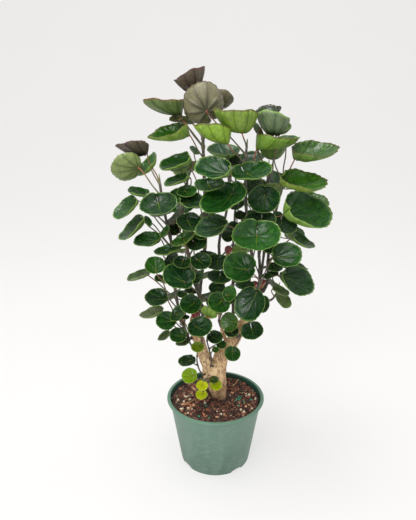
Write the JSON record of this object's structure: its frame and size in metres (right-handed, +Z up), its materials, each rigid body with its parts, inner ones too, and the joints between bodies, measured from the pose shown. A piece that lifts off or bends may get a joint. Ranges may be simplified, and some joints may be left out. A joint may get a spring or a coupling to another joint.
{
  "type": "potted aralia",
  "caption": "Bushy potted aralia: a forked, cut-back trunk with wax-sealed limbs and slender shoots of round cupped leaves, in a green nursery pot.",
  "frame": {"origin": "centre of the pot's foot pad, on the plane that the pot stands on", "axes": "+Z up along the pot's axis, -Y toward the side seen in the picture, +X to that view's right"},
  "size_m": [0.3046, 0.2462, 0.5898],
  "materials": {
    "pot_plastic": "satin grey-green moulded plastic",
    "potting_mix": "loose dark bark and peat",
    "bark": "pale speckled bark",
    "wax": "soft red grafting wax",
    "leaf": "waxy living leaf and green stem"
  },
  "bodies": {
    "root": {"pot": "pot_plastic", "potting_mix": "potting_mix", "trunk": "bark", "seal_left": "wax", "seal_middle": "wax", "seal_right": "wax", "seal_fork": "wax", "shoot_left_outer": "leaf", "shoot_left_inner": "leaf", "shoot_crown": "leaf", "shoot_mid": "leaf", "shoot_centre": "leaf", "shoot_right_mid": "leaf", "shoot_right_outer": "leaf", "shoot_back_right": "leaf", "shoot_back_mid": "leaf", "shoot_back_left": "leaf", "shoot_low_left": "leaf", "shoot_front_left": "leaf", "shoot_front_mid": "leaf", "shoot_front_right": "leaf", "shoot_foot_left": "leaf", "shoot_fork_left": "leaf", "shoot_fork_front": "leaf", "shoot_low_right": "leaf"}
  },
  "joints": []
}
